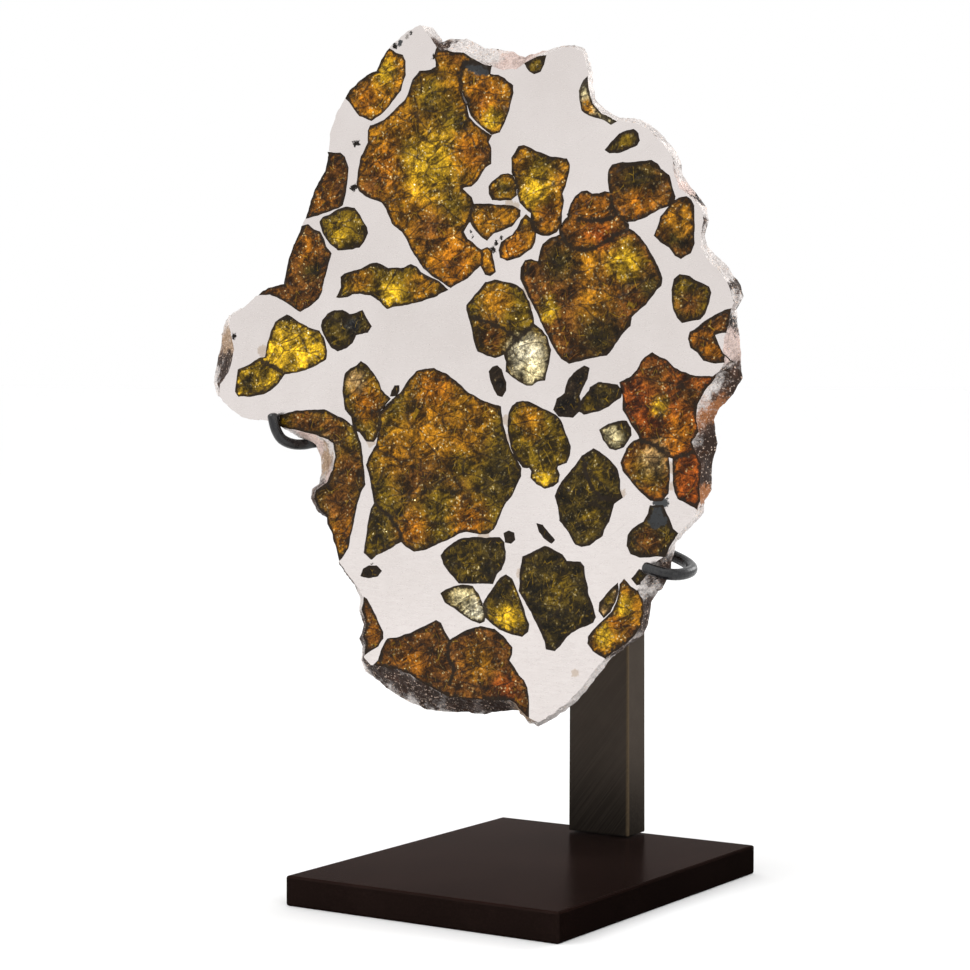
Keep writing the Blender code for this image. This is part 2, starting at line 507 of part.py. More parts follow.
def make_hook(name, points):
    """Bent round rod with a rounded tip."""
    path = smooth_path(points, 4)
    tangents = [(path[min(i + 1, len(path) - 1)] - path[max(i - 1, 0)]).normalized()
                for i in range(len(path))]
    data = bmesh.new()
    side = tangents[0].orthogonal().normalized()
    stations = []
    for place, tangent in zip(path, tangents):
        side = (side - tangent * side.dot(tangent)).normalized()
        stations.append((place, tangent, side, ROD_RADIUS))
    place, tangent, side, radius = stations[0]
    tip = [(place - tangent * radius * 0.55, tangent, side, radius * 0.55),
           (place - tangent * radius * 0.35, tangent, side, radius * 0.86)]
    rings = []
    for place, tangent, side, radius in tip + stations:
        other = tangent.cross(side)
        ring = []
        for step in range(ROD_SIDES):
            turn = math.tau * step / ROD_SIDES
            offset = side * math.cos(turn) + other * math.sin(turn)
            ring.append(data.verts.new(place + offset * radius))
        rings.append(ring)
    data.faces.new(rings[0])
    data.faces.new(rings[-1][::-1])
    for near, far in zip(rings, rings[1:]):
        for step in range(ROD_SIDES):
            following = (step + 1) % ROD_SIDES
            data.faces.new((near[step], near[following], far[following], far[step]))
    for face in data.faces:
        face.smooth = len(face.verts) == 4
    return object_from_bmesh(name, data, blackened_steel(name))


clear_scene()
make_metal_matrix()
make_crystals()
make_base()
make_post()
make_arm()
make_hook("hook_left", HOOK_LEFT_PATH)
make_hook("hook_right", HOOK_RIGHT_PATH)
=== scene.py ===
import math

import bmesh
import bpy
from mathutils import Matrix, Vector, geometry, noise
from mathutils.bvhtree import BVHTree
from mathutils.kdtree import KDTree


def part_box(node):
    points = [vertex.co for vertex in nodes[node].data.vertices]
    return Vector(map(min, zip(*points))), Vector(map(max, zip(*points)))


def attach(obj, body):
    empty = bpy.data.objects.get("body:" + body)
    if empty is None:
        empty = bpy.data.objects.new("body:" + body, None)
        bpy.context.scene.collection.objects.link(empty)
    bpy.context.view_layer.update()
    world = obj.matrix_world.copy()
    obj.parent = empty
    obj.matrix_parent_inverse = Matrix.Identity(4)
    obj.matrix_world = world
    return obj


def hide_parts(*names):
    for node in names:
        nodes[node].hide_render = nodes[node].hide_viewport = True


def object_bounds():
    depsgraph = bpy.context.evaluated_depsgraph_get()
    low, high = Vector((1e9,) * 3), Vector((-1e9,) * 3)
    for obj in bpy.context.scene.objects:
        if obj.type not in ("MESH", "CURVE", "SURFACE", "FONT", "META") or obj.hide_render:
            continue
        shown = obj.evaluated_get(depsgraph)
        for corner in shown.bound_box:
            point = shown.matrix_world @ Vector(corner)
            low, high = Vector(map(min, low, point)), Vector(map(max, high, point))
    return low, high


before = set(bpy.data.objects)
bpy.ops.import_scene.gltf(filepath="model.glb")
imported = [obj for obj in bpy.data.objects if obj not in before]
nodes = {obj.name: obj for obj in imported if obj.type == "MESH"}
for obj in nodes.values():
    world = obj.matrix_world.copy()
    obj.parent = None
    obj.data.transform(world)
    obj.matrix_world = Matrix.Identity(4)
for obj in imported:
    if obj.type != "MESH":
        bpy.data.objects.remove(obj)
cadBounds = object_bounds()
mm = 0.001

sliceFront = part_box("metal_matrix")[0][1]
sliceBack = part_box("metal_matrix")[1][1]
crystalNodes = sorted(name for name in nodes if name.startswith("crystal_"))

# the photograph's camera
cameraSettings = {
    "place": (0.2828, -0.4528, 0.1092),
    "azimuth": 32.97,
    "pitch": 2.38,
    "focalPixels": 2500.0,
    "imageWidth": 970,
    "sensor": 36.0,
}


def photoToSlice(u, v):
    azimuth = math.radians(cameraSettings["azimuth"])
    pitch = math.radians(cameraSettings["pitch"])
    ahead = Vector((-math.sin(azimuth) * math.cos(pitch),
                    math.cos(azimuth) * math.cos(pitch), -math.sin(pitch)))
    right = Vector((math.cos(azimuth), math.sin(azimuth), 0.0))
    above = right.cross(ahead)
    centre = cameraSettings["imageWidth"] / 2
    ray = ahead + right * (u - centre) / cameraSettings["focalPixels"]
    ray += above * (centre - v) / cameraSettings["focalPixels"]
    eye = Vector(cameraSettings["place"])
    place = eye + ray * (sliceFront - eye.y) / ray.y
    return place.x / mm, place.z / mm


def setInputs(tree, node, values):
    for key, value in values.items():
        if isinstance(value, bpy.types.NodeSocket):
            tree.links.new(value, node.inputs[key])
        else:
            node.inputs[key].default_value = value


def addNode(tree, kind, values=None, **settings):
    made = tree.nodes.new(kind)
    for key, value in settings.items():
        setattr(made, key, value)
    setInputs(tree, made, values or {})
    return made


def mathNode(tree, operation, first, second=0.0):
    return addNode(tree, "ShaderNodeMath", {0: first, 1: second}, operation=operation).outputs[0]


def vectorNode(tree, operation, first, second=(0.0, 0.0, 0.0)):
    return addNode(tree, "ShaderNodeVectorMath", {0: first, 1: second},
                   operation=operation).outputs[0]


def scaled(tree, vector, factor):
    return addNode(tree, "ShaderNodeVectorMath", {0: vector, "Scale": factor},
                   operation="SCALE").outputs[0]


def stretched(tree, place, factors):
    return vectorNode(tree, "MULTIPLY", place, factors)


def turned(tree, place, turn):
    return addNode(tree, "ShaderNodeMapping", {"Vector": place, "Rotation": turn}).outputs[0]


def distanceTo(tree, place, target):
    return addNode(tree, "ShaderNodeVectorMath", {0: place, 1: target},
                   operation="DISTANCE").outputs["Value"]


def remap(tree, value, fromLow, fromHigh, toLow=0.0, toHigh=1.0, smooth=False):
    kind = "SMOOTHSTEP" if smooth else "LINEAR"
    values = {0: value, 1: fromLow, 2: fromHigh, 3: toLow, 4: toHigh}
    return addNode(tree, "ShaderNodeMapRange", values, interpolation_type=kind).outputs[0]


def mixed(tree, factor, first, second):
    values = {0: factor, 6: first, 7: second}
    return addNode(tree, "ShaderNodeMix", values, data_type="RGBA").outputs[2]


def channel(tree, colour, index):
    return addNode(tree, "ShaderNodeSeparateColor", {0: colour}).outputs[index]


def brightness(tree, colour):
    return addNode(tree, "ShaderNodeRGBToBW", {0: colour}).outputs[0]


def opaque(tone, strength=1.0):
    return tuple(part * strength for part in tone) + (1.0,)


def plainColour(tree, tone):
    colour = addNode(tree, "ShaderNodeRGB").outputs[0]
    colour.default_value = opaque(tone)
    return colour


# a wave is a noise's scale per mm, its detail and its roughness
def waveNode(tree, place, wave):
    scale, detail, roughness = wave
    values = {"Vector": place, "Scale": scale, "Detail": detail, "Roughness": roughness}
    return addNode(tree, "ShaderNodeTexNoise", values).outputs


def voronoiNode(tree, place, scale, feature="F1"):
    values = {"Vector": place, "Scale": scale}
    return addNode(tree, "ShaderNodeTexVoronoi", values, feature=feature).outputs


def centred(tree, colour):
    return vectorNode(tree, "SUBTRACT", colour, (0.5, 0.5, 0.5))


# the place moved about by a wave, so that what is drawn there gets ragged borders
def bentPlace(tree, place, wave, reach):
    shift = centred(tree, waveNode(tree, place, wave)["Color"])
    return vectorNode(tree, "ADD", place, scaled(tree, shift, reach))


def facingNormal(tree):
    return addNode(tree, "ShaderNodeNewGeometry").outputs["Normal"]


def addBump(tree, shader, height, strength, depth):
    values = {"Height": height, "Strength": strength, "Distance": depth}
    bump = addNode(tree, "ShaderNodeBump", values)
    tree.links.new(bump.outputs[0], shader.inputs["Normal"])


def newGroup(name, inputs, outputs):
    group = bpy.data.node_groups.new(name, "ShaderNodeTree")
    for label, kind in inputs:
        group.interface.new_socket(label, in_out="INPUT", socket_type=kind)
    for label, kind in outputs:
        group.interface.new_socket(label, in_out="OUTPUT", socket_type=kind)
    entry = group.nodes.new("NodeGroupInput")
    leave = group.nodes.new("NodeGroupOutput")
    return group, entry, leave


def newMaterial(name):
    material = bpy.data.materials.new(name)
    material.use_nodes = True
    tree = material.node_tree
    shader = tree.nodes["Principled BSDF"]
    return material, tree, shader


def millimetres(tree):
    place = addNode(tree, "ShaderNodeTexCoord").outputs["Object"]
    return scaled(tree, place, 1.0 / mm)


# each patch fades from full at its radius times inner to nothing at its radius times outer
def patched(tree, place, colour, patches, palette, outer, inner):
    flat = stretched(tree, place, (1.0, 0.0, 1.0))
    for u, v, radius, tone in patches:
        x, z = photoToSlice(u, v)
        reach = distanceTo(tree, flat, (x, 0.0, z))
        mask = remap(tree, reach, radius * outer, radius * inner, smooth=True)
        colour = mixed(tree, mask, colour, opaque(palette[tone]))
    return colour


# inside of a fractured crystal; a range is what remap takes after the value
structureSettings = {
    "wander": ((0.22, 1.0, 0.55), 1.8),         # wave and reach in mm that bend the pattern
    "cloud": (0.30, 9.0, 0.74),                 # painted glow: brighter and darker parts of the light through the crystal
    "cloudRange": (0.36, 0.70, 0.0, 1.0, True),
    "cloudPower": 1.5,
    "cloudGain": 1.75,
    "ground": 0.10,                             # painted glow left in the darkest part
    "grainRange": (0.0, 1.0, 0.72, 1.28),       # darkest and lightest grain
    "fine": (2.4, 6.0, 0.85),
    "fineRange": (0.38, 0.64, 0.40, 1.7),
    # painted streaks of highlight
    "streakTurn": (0.0, 0.5, 0.0),
    "streakStretch": (0.28, 1.0, 1.2),
    "paintedStreak": (0.9, 2.0, 0.6),
    "streakRange": (0.50, 0.74, 0.0, 0.95, True),
    "crackStretch": (0.55, 0.8, 1.5),
    "crackScale": 0.17,
    "crackRange": (0.0, 0.045, 1.0, 0.0, True),
    "veilStretch": (1.3, 0.6, 0.7),             # painted glints off thin fracture planes
    "veilScale": 0.30,
    "veilRange": (0.0, 0.03, 1.0, 0.0, True),
    "veilPatches": (0.5, 2.0, 0.55),
    "veilPatchRange": (0.5, 0.62),
    "speckBend": ((2.8, 3.0, 0.7), 0.9),
    "speckScale": 1.7,
    "speckChosen": (0.80, 0.90),                # few specks get a painted glint
    "speckSize": (0.42, 0.18),
    "gather": (0.55, 2.0, 0.55),                # specks lie in swarms
    "gatherRange": (0.42, 0.56, 0.15, 1.0),
    "speckCloudRange": (0.0, 0.45, 0.35, 1.0),
    "grainTilt": 0.45,
    "speckTilt": 0.35,
}


# painted light through the crystal: a glow from the cloud and painted streak highlights, times
# random grain and fine tone
def paintedCrystalLight(group, place, warped, cloud, grains):
    look = structureSettings
    paintedGlow = mathNode(group, "POWER", cloud, look["cloudPower"])
    paintedGlow = mathNode(group, "MULTIPLY", paintedGlow, look["cloudGain"])
    leaning = stretched(group, turned(group, warped, look["streakTurn"]), look["streakStretch"])
    paintedStreak = remap(group, waveNode(group, leaning, look["paintedStreak"])["Fac"], *look["streakRange"])
    light = mathNode(group, "ADD", mathNode(group, "ADD", paintedGlow, look["ground"]), paintedStreak)
    grainLight = remap(group, channel(group, grains, 0), *look["grainRange"])
    light = mathNode(group, "MULTIPLY", light, grainLight)
    fine = remap(group, waveNode(group, place, look["fine"])["Fac"], *look["fineRange"])
    return mathNode(group, "MULTIPLY", light, fine)


def crystalLines(group, place, stretch, scale, width):
    lines = voronoiNode(group, stretched(group, place, stretch), scale, "DISTANCE_TO_EDGE")
    return remap(group, lines["Distance"], *width)


# painted glint: thin fracture planes, shown only in some patches
def crystalVeilGlints(group, place, warped):
    look = structureSettings
    veilGlints = crystalLines(group, warped, look["veilStretch"], look["veilScale"], look["veilRange"])
    patches = waveNode(group, place, look["veilPatches"])["Fac"]
    return mathNode(group, "MULTIPLY", veilGlints, remap(group, patches, *look["veilPatchRange"]))


# painted glints: bright specks in swarms, mixed into the colour
def crystalGlintFlecks(group, place, cloud, specks):
    look = structureSettings
    chosen = remap(group, channel(group, specks["Color"], 1), *look["speckChosen"])
    glintFlecks = mathNode(group, "MULTIPLY", chosen,
                      remap(group, specks["Distance"], *look["speckSize"]))
    gather = waveNode(group, place, look["gather"])["Fac"]
    glintFlecks = mathNode(group, "MULTIPLY", glintFlecks, remap(group, gather, *look["gatherRange"]))
    return mathNode(group, "MULTIPLY", glintFlecks, remap(group, cloud, *look["speckCloudRange"]))


def crystalFacets(group, grains, specks):
    tilt = scaled(group, centred(group, grains), structureSettings["grainTilt"])
    speckTilt = scaled(group, centred(group, specks), structureSettings["speckTilt"])
    tilt = vectorNode(group, "ADD", tilt, speckTilt)
    return vectorNode(group, "NORMALIZE", vectorNode(group, "ADD", facingNormal(group), tilt))


# one group for all crystals: it gives masks and a facet normal, no colours
def makeStructureGroup():
    group, entry, leave = newGroup(
        "olivineStructure",
        (("Place", "NodeSocketVector"), ("Grain", "NodeSocketFloat")),
        (("Light", "NodeSocketFloat"), ("Cracks", "NodeSocketFloat"),
         ("VeilGlints", "NodeSocketFloat"), ("GlintFlecks", "NodeSocketFloat"),
         ("Facets", "NodeSocketVector")))
    look = structureSettings
    place = entry.outputs["Place"]
    warped = bentPlace(group, place, *look["wander"])
    cloud = remap(group, waveNode(group, warped, look["cloud"])["Fac"], *look["cloudRange"])
    grains = voronoiNode(group, warped, entry.outputs["Grain"])["Color"]
    specks = voronoiNode(group, bentPlace(group, place, *look["speckBend"]), look["speckScale"])
    cracks = crystalLines(group, warped, look["crackStretch"], look["crackScale"],
                          look["crackRange"])
    setInputs(group, leave, {
        "Light": paintedCrystalLight(group, place, warped, cloud, grains),
        "Cracks": cracks,
        "VeilGlints": crystalVeilGlints(group, place, warped),
        "GlintFlecks": crystalGlintFlecks(group, place, cloud, specks),
        "Facets": crystalFacets(group, grains, specks["Color"]),
    })
    return group


structureGroup = makeStructureGroup()

# colours of the olivine, linear
tones = {
    "amber": (0.40, 0.165, 0.006),
    "orange": (0.38, 0.128, 0.005),
    "red": (0.31, 0.068, 0.006),
    "brown": (0.160, 0.058, 0.008),
    "tan": (0.45, 0.27, 0.10),
    "olive": (0.160, 0.097, 0.005),
    "deep": (0.052, 0.034, 0.005),
    "gold": (0.76, 0.45, 0.016),
    "pale": (0.95, 0.80, 0.42),
    "white": (1.0, 0.90, 0.62),
    "slate": (0.040, 0.042, 0.044),
    "dark": (0.018, 0.011, 0.006),
}

# base tone of a crystal, then patches at photograph pixels: u, v, radius in mm, tone
crystalLooks = {
    "crystal_top_cluster": ("amber", (
        (455, 48, 4.5, "brown"), (430, 92, 6.0, "olive"), (452, 118, 5.5, "olive"),
        (402, 152, 4.5, "deep"), (385, 168, 6.0, "orange"), (432, 165, 7.5, "gold"),
        (470, 150, 4.5, "orange"), (455, 205, 5.0, "olive"), (430, 232, 5.0, "brown"),
        (456, 262, 6.5, "orange"), (484, 98, 5.5, "orange"),
        (493, 118, 2.6, "gold"), (372, 186, 4.0, "brown"), (484, 156, 2.6, "brown"))),
    "crystal_right_cluster": ("brown", (
        (640, 178, 6.5, "deep"), (640, 206, 4.0, "orange"), (592, 216, 5.5, "orange"),
        (598, 238, 4.0, "red"), (590, 262, 4.5, "amber"), (626, 262, 4.0, "gold"),
        (596, 305, 5.0, "amber"), (549, 310, 2.4, "gold"), (600, 336, 6.0, "deep"),
        (560, 262, 5.0, "deep"), (652, 285, 3.5, "deep"), (681, 222, 5.0, "amber"),
        (675, 240, 3.0, "deep"))),
    "crystal_left_cluster": ("olive", (
        (368, 402, 4.5, "orange"), (356, 380, 2.6, "tan"), (436, 392, 6.5, "orange"),
        (478, 408, 5.0, "amber"), (430, 436, 8.0, "amber"), (396, 450, 6.0, "amber"),
        (420, 482, 6.5, "brown"), (462, 440, 6.5, "amber"), (452, 484, 5.0, "brown"),
        (462, 466, 3.5, "olive"), (500, 470, 5.5, "deep"), (440, 505, 6.0, "olive"),
        (412, 530, 4.5, "orange"), (470, 520, 5.0, "orange"), (382, 530, 3.5, "deep"),
        (305, 423, 5.5, "brown"), (332, 430, 4.5, "brown"), (346, 508, 4.5, "brown"),
        (328, 450, 3.2, "tan"), (350, 470, 5.5, "brown"), (336, 500, 5.5, "brown"),
        (345, 535, 4.5, "orange"))),
    "crystal_edge_cluster": ("red", (
        (656, 378, 5.0, "brown"), (659, 407, 2.4, "gold"), (680, 432, 4.0, "orange"),
        (650, 468, 6.5, "olive"), (655, 458, 3.5, "tan"), (694, 475, 4.5, "red"),
        (690, 395, 4.0, "brown"), (640, 400, 4.0, "red"))),
    "crystal_upper_pair": ("amber", (
        (540, 165, 4.5, "olive"), (535, 195, 5.0, "gold"), (548, 214, 4.0, "orange"),
        (503, 188, 3.0, "olive"), (512, 244, 4.0, "orange"))),
    "crystal_middle_pair": ("olive", (
        (497, 302, 4.0, "amber"), (490, 336, 4.5, "brown"), (527, 358, 4.6, "white"),
        (532, 372, 3.5, "pale"))),
    "crystal_small_pair": ("dark", ((602, 396, 4.0, "deep"), (585, 402, 2.0, "olive"))),
    "crystal_lower_pair": ("olive", (
        (463, 600, 3.4, "pale"), (476, 610, 2.6, "white"), (507, 618, 3.6, "gold"),
        (503, 594, 3.0, "deep"))),
    "crystal_c01": ("amber", ((384, 72, 3.0, "gold"), (366, 100, 3.0, "orange"))),
    "crystal_c04": ("olive", ()),
    "crystal_c05": ("pale", ((588, 110, 2.5, "amber"),)),
    "crystal_c06": ("deep", ((628, 142, 2.0, "olive"),)),
    "crystal_c16": ("brown", ((322, 200, 3.5, "orange"),)),
    "crystal_c19": ("olive", ((342, 230, 2.6, "gold"),)),
    "crystal_c20": ("brown", ((308, 248, 3.0, "orange"), (312, 270, 2.6, "deep"),
                              (298, 296, 3.0, "brown"))),
    "crystal_c21": ("olive", ((360, 280, 3.5, "amber"), (392, 295, 3.5, "gold"),
                              (425, 285, 4.0, "amber"))),
    "crystal_c22": ("gold", ((248, 382, 3.6, "deep"), (262, 372, 2.6, "olive"),
                             (286, 319, 2.6, "deep"), (316, 334, 2.0, "olive"))),
    "crystal_c24": ("deep", ((336, 338, 2.2, "olive"), (352, 325, 1.8, "slate"))),
    "crystal_c27": ("dark", ()),
    "crystal_c30": ("olive", ((690, 305, 3.0, "brown"),)),
    "crystal_c31": ("brown", ((708, 345, 3.0, "orange"),)),
    "crystal_c34": ("dark", ()),
    "crystal_c37": ("deep", ((612, 438, 2.4, "pale"),)),
    "crystal_c38": ("olive", ((530, 420, 3.6, "amber"), (546, 476, 2.6, "gold"))),
    "crystal_c39": ("deep", ((598, 474, 3.0, "olive"), (590, 520, 2.5, "olive"))),
    "crystal_c43": ("deep", ((648, 540, 3.0, "brown"),)),
    "crystal_c45": ("dark", ()),
    "crystal_c46": ("deep", ((470, 560, 3.5, "olive"),)),
    "crystal_c47": ("dark", ()),
    "crystal_c48": ("dark", ()),
    "crystal_c49": ("deep", ((560, 590, 3.6, "olive"),)),
    "crystal_c52": ("tan", ((608, 598, 2.0, "olive"),)),
    "crystal_c53": ("amber", ((604, 636, 2.6, "gold"), (622, 606, 2.2, "gold"),
                              (616, 622, 2.0, "orange"), (634, 634, 2.6, "brown"))),
    "crystal_c54": ("brown", ((410, 662, 4.5, "orange"), (480, 660, 4.0, "amber"),
                              (500, 640, 4.0, "brown"), (505, 690, 3.5, "red"))),
    "crystal_c56": ("brown", ((373, 632, 2.4, "orange"),)),
    "crystal_c58": ("deep", ()),
}

# opaque sulphide wedges inside a crystal: u, v, radius in mm, tone
crystalMarks = {
    "crystal_top_cluster": (
        (466, 64, 1.0, "slate"), (472, 66, 1.5, "slate"), (479, 68, 1.8, "slate"),
        (486, 70, 1.4, "slate"), (492, 71, 0.9, "slate"), (403, 88, 0.8, "dark")),
    "crystal_c43": (
        (657, 506, 1.2, "slate"), (658, 514, 1.8, "slate"), (655, 521, 1.8, "slate"),
        (663, 520, 1.3, "slate")),
}
crystalSettings = {
    "grain": 0.45,                              # grains per mm
    "patchBend": ((0.3, 5.0, 0.75), 7.0),
    "patchFade": (1.5, 0.15),
    "crackDepth": 0.75,
    "veilGlintDepth": 0.3,
    "glintFleckTone": (1.0, 0.80, 0.38, 1.0),
    "glintFleckRange": (0.01, 0.10, 0.12, 1.0),      # painted glints, also metallic, are strongest where the crystal is pale
    "markBend": ((1.3, 5.0, 0.75), 1.8),
    "markFade": (1.05, 0.75),
    "ringWave": (1.6, 4.0, 0.7),
    "ringUneven": (0.3, 0.7, -0.30, 0.30),
    "ringRange": (0.05, 0.50, 0.0, 0.95),
    "finish": {
        "Roughness": 0.16,
        "IOR": 1.67,
        "Transmission Weight": 0.11,
        "Specular IOR Level": 0.0,
        "Coat Weight": 0.09,
        "Coat Roughness": 0.03,
    },
}


# dark line round a crystal and along its seams, from the mesh's own edge value
def darkRing(tree, place):
    look = crystalSettings
    edge = addNode(tree, "ShaderNodeAttribute", attribute_name="edge").outputs["Fac"]
    uneven = remap(tree, waveNode(tree, place, look["ringWave"])["Fac"], *look["ringUneven"])
    return remap(tree, mathNode(tree, "ADD", edge, uneven), *look["ringRange"])


def olivineMaterial(name, baseTone, patches, marks):
    material, tree, shader = newMaterial(name)
    look = crystalSettings
    place = millimetres(tree)
    parts = addNode(tree, "ShaderNodeGroup", {"Place": place, "Grain": look["grain"]},
                    node_tree=structureGroup).outputs
    dark = opaque(tones["dark"])
    colour = patched(tree, bentPlace(tree, place, *look["patchBend"]),
                     plainColour(tree, tones[baseTone]), patches, tones, *look["patchFade"])
    # painted glow and streak highlights scale the crystal's colour
    colour = scaled(tree, colour, parts["Light"])
    cracks = mathNode(tree, "MULTIPLY", parts["Cracks"], look["crackDepth"])
    colour = mixed(tree, cracks, colour, dark)
    # painted glint: the fracture planes are drawn in gold
    veilGlints = mathNode(tree, "MULTIPLY", parts["VeilGlints"], look["veilGlintDepth"])
    colour = mixed(tree, veilGlints, colour, opaque(tones["gold"]))
    # painted glint flecks in pale gold, also made metallic so that they reflect the lamps too
    paleness = remap(tree, brightness(tree, colour), *look["glintFleckRange"])
    glintFlecks = mathNode(tree, "MULTIPLY", parts["GlintFlecks"], paleness)
    colour = mixed(tree, glintFlecks, colour, look["glintFleckTone"])
    colour = patched(tree, bentPlace(tree, place, *look["markBend"]), colour, marks, tones,
                     *look["markFade"])
    colour = mixed(tree, darkRing(tree, place), colour, dark)
    setInputs(tree, shader, {"Base Color": colour, "Metallic": glintFlecks, "Normal": parts["Facets"]})
    setInputs(tree, shader, look["finish"])
    return material


ironTones = {
    "black": (0.020, 0.018, 0.016),
    "slate": (0.070, 0.072, 0.074),
    "grey": (0.34, 0.31, 0.29),
    "tan": (0.56, 0.47, 0.40),
}
# dark inclusions and dull webs on the polished face: u, v, radius in mm, tone
ironMarks = (
    (524, 294, 1.5, "tan"), (530, 304, 0.9, "tan"), (263, 351, 1.5, "tan"),
    (371, 441, 1.5, "tan"), (484, 537, 1.7, "tan"), (507, 420, 1.4, "tan"),
    (509, 438, 1.0, "tan"), (512, 452, 1.0, "tan"), (671, 468, 1.3, "tan"),
    (671, 486, 1.1, "tan"), (521, 573, 1.3, "tan"), (525, 583, 1.0, "tan"),
    (509, 203, 1.2, "tan"), (516, 206, 1.0, "tan"), (622, 237, 1.1, "tan"),
    (390, 642, 1.0, "tan"), (398, 641, 0.8, "tan"), (623, 493, 0.8, "tan"),
    (575, 673, 1.0, "tan"), (664, 503, 1.2, "slate"),
    (657, 503, 1.0, "slate"), (355, 143.5, 0.7, "black"), (358, 143, 0.6, "black"),
    (353, 188, 0.8, "black"), (356, 186, 0.6, "black"), (411, 33, 0.5, "black"),
    (407, 36, 0.6, "grey"), (400, 43, 0.8, "slate"), (395, 46, 0.7, "black"),
    (234, 336, 0.8, "black"), (471, 232, 0.40, "black"), (473, 237, 0.35, "black"),
    (501, 238, 0.5, "black"), (496, 243, 0.6, "black"), (493, 249, 0.7, "black"),
    (433, 57, 0.5, "black"), (572, 211, 0.6, "grey"), (569, 214, 0.5, "black"),
    (367, 330, 0.6, "black"), (372, 564, 0.4, "black"),
)
ironSettings = {
    "colour": (0.745, 0.692, 0.670, 1.0),
    "shade": (0.690, 0.636, 0.612, 1.0),
    "broad": (0.05, 4.0, 0.55),
    "broadShare": 0.7,
    "fine": (0.9, 4.0, 0.55),
    "fineStretch": (0.4, 1.0, 3.0),
    "fineShare": 0.3,
    "shadeRange": (0.38, 0.62),
    "scratch": (1.6, 2.0, 0.8),
    "scratchTurn": (0.0, 0.6, 0.0),
    "scratchStretch": (0.05, 1.0, 4.0),
    "scratchRange": (0.66, 0.72),
    "scratchDepth": 0.22,
    "scratchTone": (0.45, 0.40, 0.38, 1.0),
    "markBend": ((1.3, 5.0, 0.75), 2.6),
    "markFade": (1.05, 0.75),
    "roughness": (0.3, 0.7, 0.20, 0.30),
    "bump": (0.06, 0.1 * mm),
}


def ironMaterial():
    material, tree, shader = newMaterial("meteoricIron")
    look = ironSettings
    place = millimetres(tree)
    broad = waveNode(tree, place, look["broad"])["Fac"]
    fine = waveNode(tree, stretched(tree, place, look["fineStretch"]), look["fine"])["Fac"]
    blend = mathNode(tree, "ADD", mathNode(tree, "MULTIPLY", broad, look["broadShare"]),
                     mathNode(tree, "MULTIPLY", fine, look["fineShare"]))
    blend = remap(tree, blend, *look["shadeRange"])
    colour = mixed(tree, blend, look["colour"], look["shade"])
    hair = stretched(tree, turned(tree, place, look["scratchTurn"]), look["scratchStretch"])
    scratch = remap(tree, waveNode(tree, hair, look["scratch"])["Fac"], *look["scratchRange"])
    dulled = mathNode(tree, "MULTIPLY", scratch, look["scratchDepth"])
    colour = mixed(tree, dulled, colour, look["scratchTone"])
    ragged = bentPlace(tree, place, *look["markBend"])
    colour = patched(tree, ragged, colour, ironMarks, ironTones, *look["markFade"])
    roughness = remap(tree, fine, *look["roughness"])
    setInputs(tree, shader, {"Base Color": colour, "Metallic": 1.0, "Roughness": roughness})
    addBump(tree, shader, scratch, *look["bump"])
    return material


rimTones = {
    "bright": (0.90, 0.84, 0.81),
    "pink": (0.86, 0.68, 0.62),
    "crust": (0.048, 0.030, 0.023),
    "black": (0.018, 0.014, 0.012),
    "tan": (0.50, 0.34, 0.22),
    "ember": (0.50, 0.20, 0.075),
}
# stretches of the natural rim: u, v, radius in mm, tone
rimMarks = (
    (515, 58, 6.0, "pink"), (440, 44, 3.0, "crust"), (690, 182, 4.0, "pink"),
    (679, 160, 1.6, "black"), (693, 193, 1.6, "black"), (704, 222, 1.8, "crust"),
    (733, 285, 2.2, "crust"), (737, 320, 3.6, "black"), (728, 348, 4.0, "pink"),
    (735, 385, 5.0, "crust"), (722, 402, 4.0, "crust"), (712, 420, 5.0, "ember"),
    (700, 462, 4.0, "ember"), (708, 445, 5.0, "crust"),
    (706, 478, 6.0, "crust"), (706, 500, 3.0, "ember"), (690, 530, 4.0, "bright"),
    (668, 580, 6.0, "crust"), (648, 620, 6.0, "crust"), (620, 655, 4.5, "crust"),
    (590, 682, 4.0, "bright"), (550, 718, 3.0, "bright"), (520, 705, 4.0, "tan"),
    (490, 706, 5.0, "crust"), (455, 704, 6.0, "crust"), (420, 694, 5.0, "crust"),
    (395, 682, 5.0, "crust"), (372, 668, 5.0, "crust"), (360, 630, 5.0, "crust"),
    (338, 560, 8.0, "crust"), (322, 510, 8.0, "crust"), (318, 458, 4.0, "tan"),
    (330, 480, 3.0, "pink"), (304, 436, 4.0, "pink"), (222, 345, 5.0, "tan"),
    (219, 368, 5.0, "crust"),
    (300, 225, 7.0, "crust"), (320, 170, 7.0, "crust"), (360, 80, 8.0, "crust"),
)
rimSettings = {
    "broad": (0.18, 5.0, 0.6),
    "grit": (1.8, 7.0, 0.75),
    "pitScale": 2.2,
    "broadBend": ((0.28, 5.0, 0.75), 11.0),     # both bend the borders of the stretches
    "fineBend": ((0.9, 5.0, 0.75), 5.0),
    "markFade": (1.15, 0.6),
    "rust": (0.16, 0.075, 0.045, 1.0),
    "rustRange": (0.54, 0.66, 0.0, 0.45),
    "dirt": (0.05, 0.032, 0.025, 1.0),
    "dirtRange": (0.46, 0.60, 0.0, 0.4),
    "glint": (0.95, 0.74, 0.60, 1.0),
    "glintChosen": (0.62, 0.70),
    "glintSize": (0.50, 0.22),
    "glintGrit": (0.42, 0.56),
    "bareTone": (0.15, 0.60, 0.10, 1.0),        # pale stretches are bare metal
    "bareRange": (0.5, 0.4, 0.0, 0.85),
    "specular": 0.12,
    "roughness": (0.35, 0.65, 0.30, 0.75),
    "pitDepth": 0.6,
    "bump": (0.9, 0.6 * mm),
}


